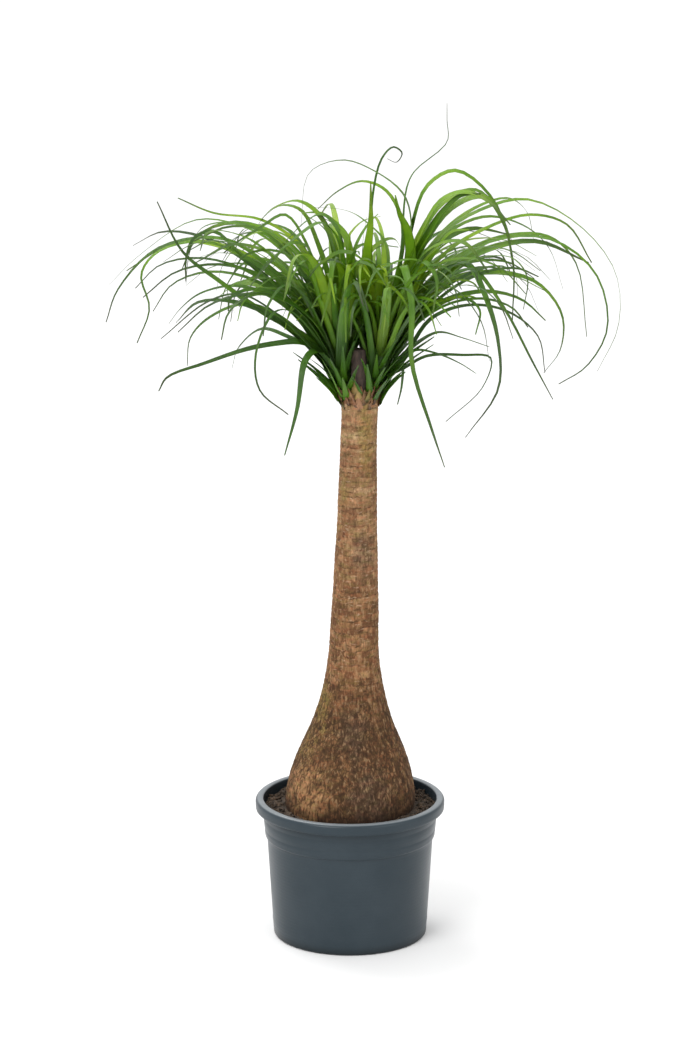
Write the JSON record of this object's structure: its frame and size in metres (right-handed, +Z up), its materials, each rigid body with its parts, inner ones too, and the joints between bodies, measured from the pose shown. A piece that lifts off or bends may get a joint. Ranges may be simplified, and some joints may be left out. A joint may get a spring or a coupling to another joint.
{
  "type": "potted ponytail palm",
  "caption": "Potted ponytail palm: a swollen-based trunk with forked heads of arching strap leaves, standing in soil in a plain nursery pot.",
  "frame": {"origin": "on the floor, under the middle of the pot, where the pot's bottom face rests", "axes": "+Z up along the trunk; -Y is the front that the picture shows; +X to the right"},
  "size_m": [0.636, 0.5038, 1.06],
  "materials": {
    "pot_plastic": "satin",
    "soil": "matte",
    "bark": "matte",
    "leaf": "satin"
  },
  "bodies": {
    "root": {"pot": "pot_plastic", "soil": "soil", "trunk": "bark", "leaves_left": "leaf", "leaves_right": "leaf"}
  },
  "joints": []
}
